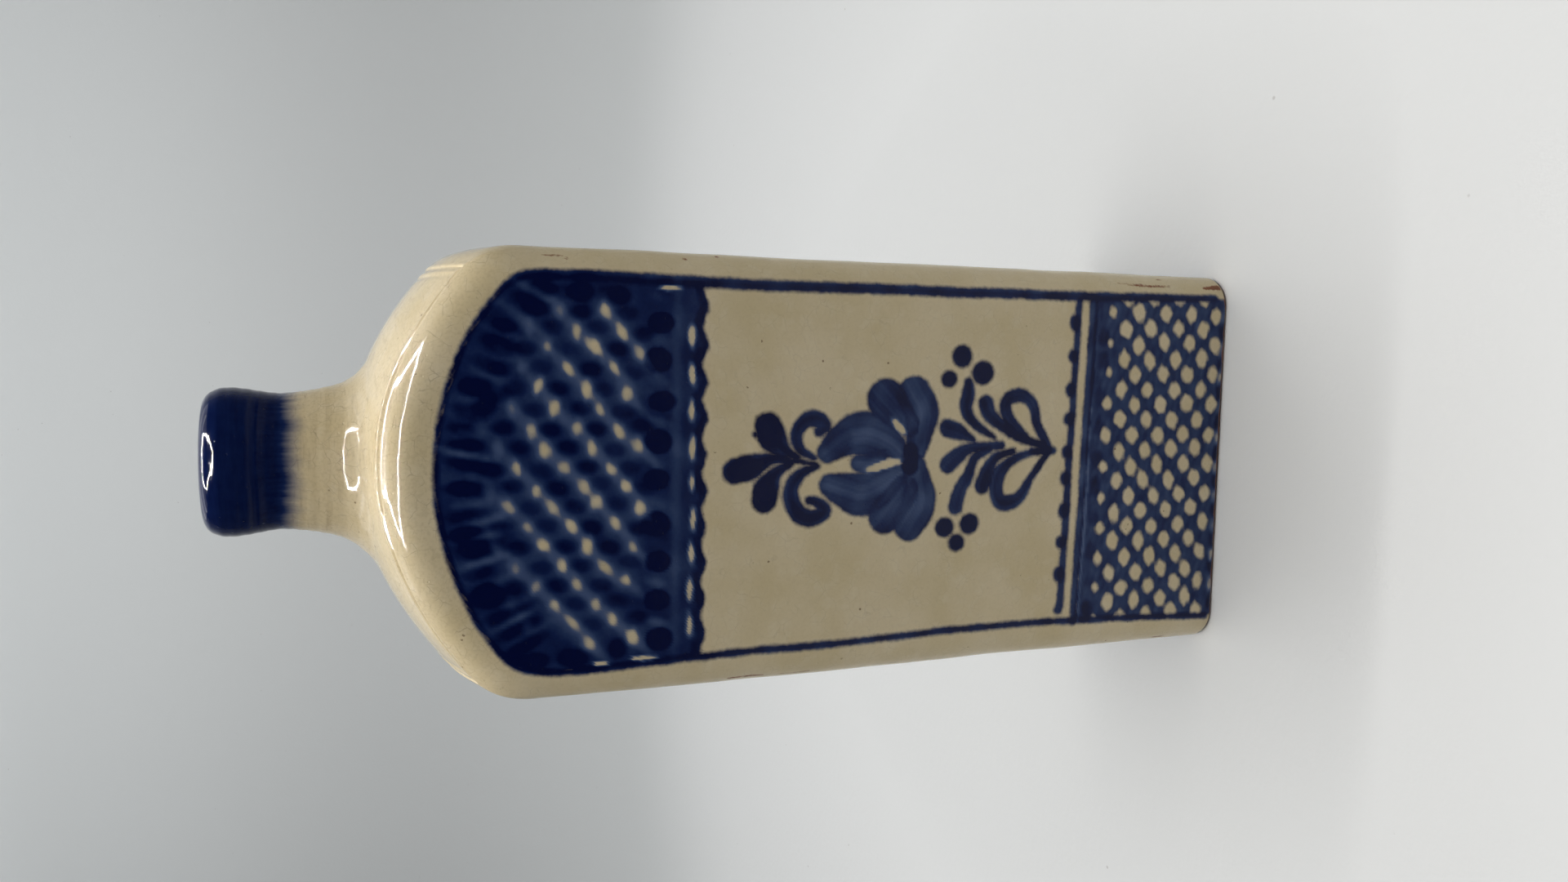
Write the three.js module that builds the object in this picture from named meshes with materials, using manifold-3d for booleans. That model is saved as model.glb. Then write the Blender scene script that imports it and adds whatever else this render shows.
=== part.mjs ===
// A talavera bottle vase: a hollow, slab-built rectangular body with arched walls, a domed
// shoulder and a thrown neck with a thick rolled lip. Millimetres, +Z up, the origin at the
// centre of the foot, and the best painted face looking towards -Y.
//
// Each mesh is one piece of clay that the potter luts to its neighbours before firing. The
// outside of the whole bottle is made once, as one solid whose rows run from the foot to the
// mouth, and each piece is the part of it that lies between flat joint planes.

import * as THREE from 'three';
import { mergeVertices } from 'three/addons/utils/BufferGeometryUtils.js';
import Module from 'manifold-3d';

const wasm = await Module();
wasm.setup();

// ---- driving dimensions ----

const BODY_WIDTH = 100;         // across the painted front face, along X
const BODY_DEPTH = 68;          // front to back, along Y
const CORNER_RADIUS = 8.2;      // rounding of the four upright corners, seen from above
const SLAB_THICKNESS = 5.5;     // rolled clay of the four walls
const BASE_THICKNESS = 7;
const FOOT_ROUNDING = 1.5;

const DOME_CREST = 221.9;       // height at which the dome alone would peak on the axis
const DOME_FALL_X = 0.009215;   // how fast the dome falls sideways, in mm per mm squared
const DOME_FALL_Y = 0.0063;     // and towards the front and the back
const DOME_TILT = 0.03;         // the dome was set down a little higher on the right
const ROLL_INSET = 5.2;         // how far in from the wall the rolled top edge ends
const SHOULDER_THICKNESS = 7;   // measured upright

const NECK_SHIFT = 1.7;         // the neck stands a little to the right of the middle
const SHIFT_START = 196;        // height at which the dome begins to lean to the neck's side
const BORE_RADIUS = 10.5;
const NECK_JOINT = 226.5;       // top of the shoulder, foot of the neck
const LIP_JOINT = 240.5;        // top of the neck, foot of the rolled lip

// Outside of the neck, from the foot of its flare to the crown of the lip: radius, height.
const NECK_OUTLINE = [
  [24.2, 212.0], [21.3, 217.0], [19.1, 220.4], [17.5, 223.5], [16.6, 226.5], [15.9, 229.6],
  [15.4, 233.0], [15.2, 236.2], [15.6, 239.2], [16.1, 242.2], [16.4, 245.2], [16.2, 247.8],
  [15.3, 249.8], [13.9, 251.0], [12.4, 251.4],
];
const FLARE_BLEND = 4;          // how softly the neck's flare runs out on the dome
const MOUTH_ROUNDING = 1.6;     // inner edge of the lip
const FLARE_TOP = 221;          // the bore opens into the body below this height
const FLARE_WIDTH = 8;
const FLARE_DEPTH = 10;

const OUTLINE_STEPS = 104;      // points round the body
const ROLL_STEPS = 4;
const DOME_STEPS = 4;
const FLARE_STEPS = 4;
const BORE_STEPS = 40;          // points round the bore

// ---- shape of the outside ----

const HALF_WIDTH = BODY_WIDTH / 2;
const HALF_DEPTH = BODY_DEPTH / 2;
const HEIGHT = NECK_OUTLINE.at(-1)[1];
const FLARE_RADIUS = NECK_OUTLINE[0][0];
const BEYOND = 50;              // how far the cutting blocks reach past the bottle

/** Rounded rectangle of the body seen from above, as points from corner to corner. */
function bodyOutline() {
  const x = HALF_WIDTH;
  const y = HALF_DEPTH;
  const r = CORNER_RADIUS;
  const shape = new THREE.Shape();
  shape.moveTo(x, 0);
  shape.lineTo(x, y - r);
  shape.absarc(x - r, y - r, r, 0, Math.PI / 2);
  shape.lineTo(-x + r, y);
  shape.absarc(-x + r, y - r, r, Math.PI / 2, Math.PI);
  shape.lineTo(-x, -y + r);
  shape.absarc(-x + r, -y + r, r, Math.PI, Math.PI * 1.5);
  shape.lineTo(x - r, -y);
  shape.absarc(x - r, -y + r, r, Math.PI * 1.5, Math.PI * 2);
  shape.lineTo(x, 0);
  return shape.getSpacedPoints(OUTLINE_STEPS).slice(0, -1);
}

function domeHeight(x, y) {
  return DOME_CREST + DOME_TILT * x - DOME_FALL_X * x * x - DOME_FALL_Y * y * y;
}

/** The higher of two heights, with a soft hollow where they cross. */
function blendedHigher(a, b) {
  const share = Math.max(0, 1 - Math.abs(a - b) / FLARE_BLEND);
  return Math.max(a, b) + share * share * FLARE_BLEND / 4;
}

/** Sideways lean towards the neck's own axis, which grows with height. */
function leanAt(height) {
  return NECK_SHIFT * THREE.MathUtils.smoothstep(height, SHIFT_START, NECK_JOINT);
}

/** The column of outside points above one point of the body's outline, foot to mouth. */
function outsideColumn(edge) {
  const column = [];
  const reach = edge.length();
  const at = (radius, height) => {
    const scale = radius / reach;
    column.push(new THREE.Vector3(edge.x * scale + leanAt(height), edge.y * scale, height));
  };
  at(reach - FOOT_ROUNDING, 0);
  at(reach, FOOT_ROUNDING);

  // The wall's top edge is rolled over: a curve from the wall to the dome.
  const inner = Math.min(
    (HALF_WIDTH - ROLL_INSET) / Math.abs(edge.x || 1e-9),
    (HALF_DEPTH - ROLL_INSET) / Math.abs(edge.y || 1e-9),
  );
  const corner = new THREE.Vector2(reach, domeHeight(edge.x, edge.y));
  const crease = new THREE.Vector2(reach * inner, domeHeight(edge.x * inner, edge.y * inner));
  const wallTop = new THREE.Vector2(reach, corner.y - corner.distanceTo(crease));
  const roll = new THREE.QuadraticBezierCurve(wallTop, corner, crease);
  roll.getPoints(ROLL_STEPS).forEach((point) => at(point.x, point.y));

  // The dome, from the crease in to the foot of the neck's flare.
  for (let step = 1; step <= DOME_STEPS; step += 1) {
    const radius = THREE.MathUtils.lerp(crease.x, FLARE_RADIUS + 3, step / DOME_STEPS);
    const scale = radius / reach;
    at(radius, domeHeight(edge.x * scale, edge.y * scale));
  }
  // The neck stands on the dome, and its flare runs out into it.
  NECK_OUTLINE.forEach(([radius, height]) => {
    const scale = radius / reach;
    at(radius, blendedHigher(height, domeHeight(edge.x * scale, edge.y * scale)));
  });
  return column;
}

/**
 * A closed solid from upright columns of points, all of one length: a lathe's net of faces,
 * closed on the axis at both ends, with each of its points moved to its place in the columns.
 */
function solidFromColumns(columns) {
  const rows = columns[0].length;
  const low = columns[0][0].z;
  const high = columns[0][rows - 1].z;
  const profile = [new THREE.Vector2(0, low)];
  for (let row = 0; row < rows; row += 1) profile.push(new THREE.Vector2(1, row));
  profile.push(new THREE.Vector2(0, high));
  const net = new THREE.LatheGeometry(profile, columns.length);
  const position = net.getAttribute('position');
  for (let index = 0; index < position.count; index += 1) {
    const row = index % profile.length;
    const column = columns[Math.floor(index / profile.length) % columns.length];
    const end = { 0: low, [profile.length - 1]: high }[row];
    const point = end === undefined ? column[row - 1] : new THREE.Vector3(leanAt(end), 0, end);
    position.setXYZ(index, ...point.toArray());
  }
  return solid(net);
}

// ---- solids ----

/** A manifold solid from a closed three.js geometry. */
function solid(geometry) {
  const bare = geometry.clone();
  bare.deleteAttribute('normal');
  bare.deleteAttribute('uv');
  const merged = mergeVertices(bare);
  return new wasm.Manifold(new wasm.Mesh({
    numProp: 3,
    vertProperties: new Float32Array(merged.getAttribute('position').array),
    triVerts: new Uint32Array(merged.getIndex().array),
  }));
}

/** A rectangular block between two corners. */
function block(low, high) {
  const size = high.map((value, axis) => value - low[axis]);
  const box = new THREE.BoxGeometry(...size);
  box.translate(...low.map((value, axis) => value + size[axis] / 2));
  return solid(box);
}

/** A solid turned on the neck's axis, from radius and height pairs that close on the axis. */
function turned(points) {
  const profile = points.map(([radius, height]) => new THREE.Vector2(radius, height));
  const lathe = new THREE.LatheGeometry(profile, BORE_STEPS);
  lathe.rotateX(Math.PI / 2);
  lathe.translate(NECK_SHIFT, 0, 0);
  return solid(lathe);
}

/** The hollow under the dome: the dome's own shape, lower by the shoulder's thickness. */
function domeHollow() {
  const past = 1.1;             // the hollow reaches past the walls, and past the bore's edge
  const columns = bodyOutline().map((edge) => {
    const middle = BORE_RADIUS / past / edge.length();
    const column = [new THREE.Vector3(edge.x * past, edge.y * past, DOME_CREST / 2)];
    for (let step = 0; step <= DOME_STEPS; step += 1) {
      const scale = THREE.MathUtils.lerp(past, middle, step / DOME_STEPS);
      const x = edge.x * scale;
      const y = edge.y * scale;
      const height = domeHeight(x, y) - SHOULDER_THICKNESS;
      column.push(new THREE.Vector3(x + leanAt(height), y, height));
    }
    return column;
  });
  return solidFromColumns(columns);
}

/** The bore, with a flare into the hollow below and a rounded mouth above. */
function bore() {
  const flare = new THREE.EllipseCurve(
    BORE_RADIUS + FLARE_WIDTH, FLARE_TOP, FLARE_WIDTH, FLARE_DEPTH, Math.PI * 1.5, Math.PI, true,
  );
  return turned([
    [0, FLARE_TOP - FLARE_DEPTH * 2],
    ...flare.getPoints(FLARE_STEPS).map(({ x, y }) => [x, y]),
    [BORE_RADIUS, HEIGHT - MOUTH_ROUNDING],
    [BORE_RADIUS + MOUTH_ROUNDING, HEIGHT],
    [BORE_RADIUS + MOUTH_ROUNDING, HEIGHT + BEYOND],
    [0, HEIGHT + BEYOND],
  ]);
}

// ---- pieces ----

const INNER_X = HALF_WIDTH - SLAB_THICKNESS;
const INNER_Y = HALF_DEPTH - SLAB_THICKNESS;

/** Joint planes: the block of space that each piece of clay fills, as two corners. */
const PLACES = {
  base_slab: [[-INNER_X, -INNER_Y, -BEYOND], [INNER_X, INNER_Y, BASE_THICKNESS]],
  front_slab: [[-BEYOND * 2, -BEYOND * 2, -BEYOND], [BEYOND * 2, -INNER_Y, HEIGHT]],
  back_slab: [[-BEYOND * 2, INNER_Y, -BEYOND], [BEYOND * 2, BEYOND * 2, HEIGHT]],
  left_slab: [[-BEYOND * 2, -INNER_Y, -BEYOND], [-INNER_X, INNER_Y, HEIGHT]],
  right_slab: [[INNER_X, -INNER_Y, -BEYOND], [BEYOND * 2, INNER_Y, HEIGHT]],
  shoulder: [[-INNER_X, -INNER_Y, BEYOND * 3], [INNER_X, INNER_Y, NECK_JOINT]],
  neck: [[-INNER_X, -INNER_Y, NECK_JOINT], [INNER_X, INNER_Y, LIP_JOINT]],
  lip: [[-INNER_X, -INNER_Y, LIP_JOINT], [INNER_X, INNER_Y, HEIGHT + BEYOND]],
};

const GLAZES = {
  cream: { color: 0xd9cda6, roughness: 0.18, metalness: 0 },
  cobalt: { color: 0x141d4d, roughness: 0.15, metalness: 0 },
  bare_clay: { color: 0xb98a63, roughness: 0.8, metalness: 0 },
};

/** A mesh of one piece: the bottle's outside within its joint planes, less its hollows. */
function piece(name, glaze, outside, hollows = []) {
  let body = outside.intersect(block(...PLACES[name]));
  hollows.forEach((hollow) => { body = body.subtract(hollow); });
  const { vertProperties, triVerts } = body.getMesh();
  const geometry = new THREE.BufferGeometry();
  geometry.setAttribute('position', new THREE.BufferAttribute(new Float32Array(vertProperties), 3));
  geometry.setIndex(new THREE.BufferAttribute(new Uint32Array(triVerts), 1));
  geometry.computeVertexNormals();
  const mesh = new THREE.Mesh(geometry, new THREE.MeshStandardMaterial(GLAZES[glaze]));
  mesh.name = name;
  return mesh;
}

function vase() {
  const outside = solidFromColumns(bodyOutline().map(outsideColumn));
  const throat = bore();
  const group = new THREE.Group();
  group.add(piece('base_slab', 'bare_clay', outside));
  ['front_slab', 'back_slab', 'left_slab', 'right_slab'].forEach((name) => {
    group.add(piece(name, 'cream', outside));
  });
  group.add(piece('shoulder', 'cream', outside, [domeHollow(), throat]));
  group.add(piece('neck', 'cream', outside, [throat]));
  group.add(piece('lip', 'cobalt', outside, [throat]));
  return group;
}

export default vase();
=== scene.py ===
"""Glazed and painted finish for a talavera bottle vase, built round its packed clay pieces.

The outside of the vase is one net of points: columns round the body, each with a row of points
from the foot to the mouth and down the bore. Every piece of clay takes its own patch of that
net, so that neighbours share their edge points and normals, and closes it inside the wall.
The brushwork is laid on the patches as two numbers a point: how deep inside a stroke the point
is, and how much cobalt the stroke carries. The glaze turns those into colour.
"""

import math

import bpy
import numpy as np
from mathutils import Matrix, Vector


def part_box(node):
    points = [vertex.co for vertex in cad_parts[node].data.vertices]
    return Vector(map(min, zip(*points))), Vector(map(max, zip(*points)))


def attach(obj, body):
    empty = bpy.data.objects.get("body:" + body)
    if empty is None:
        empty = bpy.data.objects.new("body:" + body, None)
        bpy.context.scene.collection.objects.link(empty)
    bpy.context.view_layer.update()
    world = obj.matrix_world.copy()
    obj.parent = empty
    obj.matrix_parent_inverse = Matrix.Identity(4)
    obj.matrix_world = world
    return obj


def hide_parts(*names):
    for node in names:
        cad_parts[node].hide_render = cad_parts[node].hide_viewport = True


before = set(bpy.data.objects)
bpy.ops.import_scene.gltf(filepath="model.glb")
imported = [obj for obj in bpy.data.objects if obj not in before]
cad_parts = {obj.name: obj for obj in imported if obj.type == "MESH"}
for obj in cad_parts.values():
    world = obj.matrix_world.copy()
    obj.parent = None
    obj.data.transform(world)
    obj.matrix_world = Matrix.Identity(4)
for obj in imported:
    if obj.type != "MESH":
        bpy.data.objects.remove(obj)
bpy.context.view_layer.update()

bl_info = {
    "name": "Talavera bottle vase",
    "version": (1, 0, 0),
    "blender": (4, 5, 0),
    "location": "View3D > Sidebar > Talavera",
    "description": "Makes the glazed pieces of a cobalt-painted bottle vase, and its stage",
    "category": "Object",
}

BODY = "root"
MM = 0.001


def corners(node):
    """Lowest and highest corner of a clay piece, in millimetres."""
    low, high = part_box(node)
    return np.array(low) / MM, np.array(high) / MM


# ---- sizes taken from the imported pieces, in millimetres ----

FRONT_LOW, FRONT_HIGH = corners("front_slab")
LEFT_LOW = corners("left_slab")[0]
BASE_LOW, BASE_HIGH = corners("base_slab")
LIP_LOW, LIP_HIGH = corners("lip")
NECK_LOW = corners("neck")[0]

HALF_WIDTH = -LEFT_LOW[0]
HALF_DEPTH = -FRONT_LOW[1]
SLAB = FRONT_HIGH[1] - FRONT_LOW[1]
HEIGHT = LIP_HIGH[2]
NECK_X = (LIP_LOW[0] + LIP_HIGH[0]) / 2
NECK_JOINT = NECK_LOW[2]
LIP_JOINT = LIP_LOW[2]
INNER_X = HALF_WIDTH - SLAB
INNER_Y = HALF_DEPTH - SLAB

# ---- sizes that the clay pieces were drawn with ----

CORNER = 8.2            # rounding of the upright corners
DOME_CREST = 221.9
DOME_FALL = (0.009215, 0.0063)
DOME_TILT = 0.03
SHIFT_START = 196.0
FLARE_BLEND = 4.0
BORE = 10.5
SHOULDER_THICKNESS = 7.0
FOOT_ROUNDING = 1.5
ROLL_LENGTH = 14.0      # over the rolled top edge of a wall
DOME_REACH = 22.0       # from the crease to the neck
LOWEST_RING = 207.0     # where the throwing lines begin
NECK_OUTLINE = [
    (24.2, 212.0), (21.3, 217.0), (19.1, 220.4), (17.5, 223.5), (16.6, 226.5), (15.9, 229.6),
    (15.4, 233.0), (15.2, 236.2), (15.6, 239.2), (15.8, LIP_JOINT), (16.1, 242.2), (16.4, 245.2),
    (16.2, 247.8), (15.3, 249.8), (13.9, 251.0), (12.4, HEIGHT),
]
BORE_OUTLINE = [
    (12.4, HEIGHT), (11.3, 251.0), (10.6, 250.0), (BORE, 248.0), (BORE, 244.0),
]


# ---- curves and waves ----

def smooth_path(points, spans):
    """Points along a smooth curve through the given ones, with spans steps between each two."""
    given = np.array(points, float)
    ends = np.vstack([2 * given[0] - given[1], given, 2 * given[-1] - given[-2]])
    before, here, there, after = ends[:-3], ends[1:-2], ends[2:-1], ends[3:]
    share = np.linspace(0, 1, spans, endpoint=False)[:, None, None]
    curve = 0.5 * (
        2 * here + (there - before) * share
        + (2 * before - 5 * here + 4 * there - after) * share ** 2
        + (3 * here - before - 3 * there + after) * share ** 3
    )
    return np.vstack([curve.transpose(1, 0, 2).reshape(-1, given.shape[1]), given[-1:]])


def smoothstep(value, low, high):
    share = np.clip((value - low) / (high - low), 0, 1)
    return share * share * (3 - 2 * share)


def blended_higher(a, b, soft):
    """The higher of two fields, with a soft hollow where they cross."""
    share = np.clip(1 - np.abs(a - b) / soft, 0, 1)
    return np.maximum(a, b) + share * share * soft / 4


def waves(positions, length, seed, count=7):
    """A gentle unevenness, about -1 to 1, with bumps about one length apart."""
    draw = np.random.default_rng(seed)
    total = np.zeros(positions.shape[:-1])
    for _ in range(count):
        direction = draw.normal(size=positions.shape[-1])
        direction *= 2 * math.pi / (length * draw.uniform(0.7, 1.6) * np.linalg.norm(direction))
        total += np.sin(positions @ direction + draw.uniform(0, 2 * math.pi))
    return total / math.sqrt(count)


# ---- the outside net ----

FLAT_X = HALF_WIDTH - CORNER
FLAT_Y = HALF_DEPTH - CORNER
SEAM_ANGLE = math.acos((INNER_Y - FLAT_Y) / CORNER)
SEAM = FLAT_X + CORNER * SEAM_ANGLE                    # round the outline from the front's middle
QUARTER = FLAT_X + FLAT_Y + CORNER * math.pi / 2       # to the middle of the right side
PERIMETER = 4 * QUARTER


def outline(distance):
    """The body's outline seen from above: the point at each distance from the front's middle,
    counted towards the right side."""
    distance = np.asarray(distance, float) % PERIMETER
    half = np.where(distance > 2 * QUARTER, PERIMETER - distance, distance)
    to_corner = np.where(half > QUARTER, 2 * QUARTER - half, half)
    angle = np.clip((to_corner - FLAT_X) / CORNER, 0, math.pi / 2)
    past = np.clip(to_corner - FLAT_X - CORNER * math.pi / 2, 0, None)
    x = np.minimum(to_corner, FLAT_X) + CORNER * np.sin(angle)
    y = -FLAT_Y - CORNER * np.cos(angle) + past
    x = np.where(distance > 2 * QUARTER, -x, x)
    y = np.where(half > QUARTER, -y, y)
    return np.stack([x, y], -1)


def dome_height(x, y):
    return DOME_CREST + DOME_TILT * x - DOME_FALL[0] * x * x - DOME_FALL[1] * y * y


def lean_at(height):
    return NECK_X * smoothstep(height, SHIFT_START, NECK_JOINT)


class Net:
    """Columns of points round the body. rows names where each stretch of rows begins."""

    def __init__(self, step, unevenness, crease_depth):
        counts = [2 * round(SEAM / step), 2 * round((QUARTER - SEAM) / step)]
        back = 2 * QUARTER
        stretches = [(-SEAM, SEAM), (SEAM, back - SEAM), (back - SEAM, back + SEAM),
                     (back + SEAM, PERIMETER - SEAM)]
        self.seams = np.cumsum([0, counts[0], counts[1], counts[0], counts[1]])
        self.distance = np.concatenate([
            np.linspace(low, high, counts[side % 2], endpoint=False)
            for side, (low, high) in enumerate(stretches)
        ])
        self.edge = outline(self.distance)
        self.rows = {}
        self.points = self.build(step)
        self.shape_by_hand(unevenness, crease_depth)
        self.normals = self.smooth_normals()

    def build(self, step):
        edge = self.edge
        reach = np.linalg.norm(edge, axis=1)
        ray = edge / reach[:, None]
        rows = []

        def at(radius, height):
            height = np.broadcast_to(height, reach.shape)
            place = ray * np.broadcast_to(radius, reach.shape)[:, None]
            rows.append(np.column_stack([place[:, 0] + lean_at(height), place[:, 1], height]))

        inner = np.minimum(INNER_X / np.maximum(np.abs(edge[:, 0]), 1e-9),
                           INNER_Y / np.maximum(np.abs(edge[:, 1]), 1e-9))
        corner = dome_height(edge[:, 0], edge[:, 1])
        crease = dome_height(edge[:, 0] * inner, edge[:, 1] * inner)
        fall = np.hypot(reach * (1 - inner), crease - corner)
        wall_top = corner - fall

        for angle in np.linspace(0, math.pi / 2, 5):
            at(reach - FOOT_ROUNDING * (1 - math.sin(angle)), FOOT_ROUNDING * (1 - math.cos(angle)))
        wall_steps = round(wall_top.mean() / step)
        for share in np.arange(1, wall_steps) / wall_steps:
            at(reach, FOOT_ROUNDING + (wall_top - FOOT_ROUNDING) * share)
        roll_steps = round(ROLL_LENGTH / step)
        for share in np.linspace(0, 1, roll_steps + 1):
            at(reach * (1 - (1 - inner) * share ** 2),
               (1 - share) ** 2 * wall_top + 2 * share * (1 - share) * corner + share ** 2 * crease)
        self.rows["crease"] = len(rows) - 1
        dome_steps = round(DOME_REACH / step)
        outer, flare = reach * inner, NECK_OUTLINE[0][0]
        for share in np.arange(1, dome_steps) / dome_steps:
            radius = outer + (flare - outer) * share
            at(radius, dome_height(ray[:, 0] * radius, ray[:, 1] * radius))
        for radius, height in smooth_path(NECK_OUTLINE, round(3 / step)):
            if height >= NECK_JOINT - 0.01 and "neck" not in self.rows:
                self.rows["neck"] = len(rows)
            if height >= LIP_JOINT - 0.01 and "lip" not in self.rows:
                self.rows["lip"] = len(rows)
            dome = dome_height(ray[:, 0] * radius, ray[:, 1] * radius)
            at(radius, blended_higher(height, dome, FLARE_BLEND))
        for radius, height in smooth_path(BORE_OUTLINE, round(2 / step))[1:]:
            at(radius, height)
        self.rows["mouth"] = len(rows) - 1
        return np.stack(rows)

    def shape_by_hand(self, unevenness, crease_depth):
        """Uneven walls, and a tooled groove where the shoulder meets the walls."""
        points = self.points
        sway = waves(points, 55, 11)[..., None] * 0.6 + waves(points, 17, 12)[..., None] * 0.18
        body = smoothstep(points[..., 2], 3, 20)[..., None]
        points[..., :2] += self.outward() * sway * body * unevenness
        apart = np.linalg.norm(points - points[self.rows["crease"]], axis=-1)
        tooled = np.exp(-(apart / 0.45) ** 2) - 0.35 * np.exp(-((apart - 1.3) / 0.6) ** 2)
        second = np.exp(-((apart - 2.5) / 0.4) ** 2) * smoothstep(waves(points, 60, 13), -0.4, 0.4)
        second[:self.rows["crease"]] = 0
        points[..., 2] -= (tooled + second * 0.7) * crease_depth

    def outward(self):
        return self.edge / np.linalg.norm(self.edge, axis=1)[:, None]

    def smooth_normals(self):
        """Normals of the whole net, so that pieces shade as one surface across their joints."""
        along = np.roll(self.points, -1, 1) - np.roll(self.points, 1, 1)
        normal = np.cross(along, np.gradient(self.points, axis=0))
        return normal / np.maximum(np.linalg.norm(normal, axis=-1, keepdims=True), 1e-12)

    def hidden_ring(self, columns, radius, height):
        """A ring of points inside the wall."""
        height = np.broadcast_to(np.asarray(height, float), (len(columns),))
        place = self.outward()[columns] * np.broadcast_to(radius, height.shape)[:, None]
        return np.column_stack([place[:, 0] + lean_at(height), place[:, 1], height])


# ---- brushwork ----

class Brushwork:
    """Paint on a patch of wall laid flat: across and height are each point's place on it.

    edge is how deep inside a stroke a point is, and tone how much cobalt the strokes carry."""

    def __init__(self, across, height, seed):
        self.x, self.z = across, height
        self.draw = np.random.default_rng(seed)
        place = np.stack([across, height], -1)
        self.shake = waves(place, 6, seed + 1) * 0.07 + waves(place, 1.8, seed + 2) * 0.06
        self.blots = waves(place, 8, seed + 6)
        self.edge = np.full(across.shape, -9.0)
        self.load = np.full(across.shape, 0.6)
        self.thin = np.ones(across.shape)

    def near(self, low_x, high_x, low_z, high_z):
        """The numbers of the points inside a rectangle."""
        return np.nonzero((self.x > low_x) & (self.x < high_x)
                          & (self.z > low_z) & (self.z < high_z))[0]

    def turned(self, where, x, z, turn):
        """How far the points named by where lie from (x, z), along a turned line and over it."""
        dx, dz = self.x[where] - x, self.z[where] - z
        return (dx * math.cos(turn) + dz * math.sin(turn),
                dz * math.cos(turn) - dx * math.sin(turn))

    def lay(self, where, depth, tone, soft=0.5, pool=0.22):
        """Adds paint that is depth deep at the points named by where. pool is how much of the
        weaker paint adds to the stronger where two strokes cross."""
        depth = depth + self.shake[where]
        edge, load = self.edge[where], self.load[where]
        under = smoothstep(edge, -0.4, 0.3)
        both = np.maximum(load, tone) + pool * np.minimum(load, tone) * under
        wet = smoothstep(depth, -0.5, 0.4)
        over_bare = np.where(depth > edge, tone, load)
        self.load[where] = under * (load + (both - load) * wet) + (1 - under) * over_bare
        self.edge[where] = blended_higher(edge, depth, soft)

    def stroke(self, points, tone, streaks=0.0, core=0.0, soft=0.5, pool=0.22):
        """A brush stroke through (across, height, half width) points. Streaks run along it, and
        core makes its middle darker than its edges."""
        if len(points) == 1:
            points = [points[0], tuple(np.add(points[0], (0.02, 0.02, 0)))]
        path = smooth_path(points, 1 if len(points) == 2 else 5)
        path[:, 2] = np.maximum(path[:, 2], 0.2)
        low, high, margin = path.min(0), path.max(0), path[:, 2].max() + 2.2
        where = self.near(low[0] - margin, high[0] + margin, low[1] - margin, high[1] + margin)
        x, z = self.x[where], self.z[where]
        depth = np.full(x.shape, -9.0)
        side, width = np.zeros(x.shape), np.ones(x.shape)
        for (x0, z0, r0), (x1, z1, r1) in zip(path[:-1], path[1:]):
            dx, dz = x1 - x0, z1 - z0
            length = max(math.hypot(dx, dz), 1e-6)
            share = np.clip(((x - x0) * dx + (z - z0) * dz) / length ** 2, 0, 1)
            off_x, off_z, radius = x - x0 - share * dx, z - z0 - share * dz, r0 + (r1 - r0) * share
            here = radius - np.hypot(off_x, off_z)
            closer = here > depth
            depth = np.where(closer, here, depth)
            side = np.where(closer, (dx * off_z - dz * off_x) / length, side)
            width = np.where(closer, radius, width)
        turns = self.draw.uniform(0, 2 * math.pi, 3)
        bristles = np.sin(side * 2.6 + turns[0]) + 0.6 * np.sin(side * 5.3 + turns[1]) \
            + np.sin(side * 1.1 + turns[2])
        grade = np.clip(depth / width, -0.2, 1) - 0.45
        uneven = streaks * (bristles / 2 + self.blots[where] * 0.8)
        self.lay(where, depth, tone * (1 + uneven + core * grade), soft, pool)

    def strokes(self, many, tone, **ways):
        for points in many:
            self.stroke(points, tone * self.draw.uniform(0.92, 1.08), **ways)

    def dot(self, x, z, width, height, tone, core=0.3):
        """A dab of the brush, half width by half height."""
        where = self.near(x - width - 3, x + width + 3, z - height - 3, z + height + 3)
        away = np.hypot((self.x[where] - x) / width, (self.z[where] - z) / height)
        depth = (1 - away) * min(width, height)
        self.lay(where, depth, tone * (1 + core * (0.6 - np.clip(away, 0, 1))))

    def soft_dab(self, x, z, width, height, strength, turn=0.0):
        """Darkens the wash softly, or lightens it where strength is below 0."""
        reach = max(width, height) * 2
        where = self.near(x - reach, x + reach, z - reach, z + reach)
        over, along = self.turned(where, x, z, -turn)
        away = np.hypot(over / width, along / height) + self.shake[where] * 0.5
        self.load[where] += strength * (1 - smoothstep(away, 0.4, 1.2))

    def gap(self, x, z, width, height, turn, strength, soft):
        """A place where the paint thins out and the white shows."""
        where = self.near(x - 2 * width, x + 2 * width, z - 2 * width, z + 2 * width)
        along, over = self.turned(where, x, z, turn)
        away = np.hypot(along / width, over / height) + self.shake[where] * 1.2 / height
        self.thin[where] *= 1 - strength * (1 - smoothstep(away, 1 - soft, 1 + soft))

    def opening(self, x, z, width, height, turn):
        """A crisp hole left between crossing strokes."""
        where = self.near(x - width - 3, x + width + 3, z - height - 3, z + height + 3)
        along, over = self.turned(where, x, z, turn)
        away = (np.abs(along / width) ** 1.6 + np.abs(over / height) ** 1.6) ** (1 / 1.6)
        depth = (1 - away) * min(width, height) - self.shake[where] * 2
        self.edge[where] = -blended_higher(-self.edge[where], depth, 0.8)

    def tone(self):
        return self.load * self.thin


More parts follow.
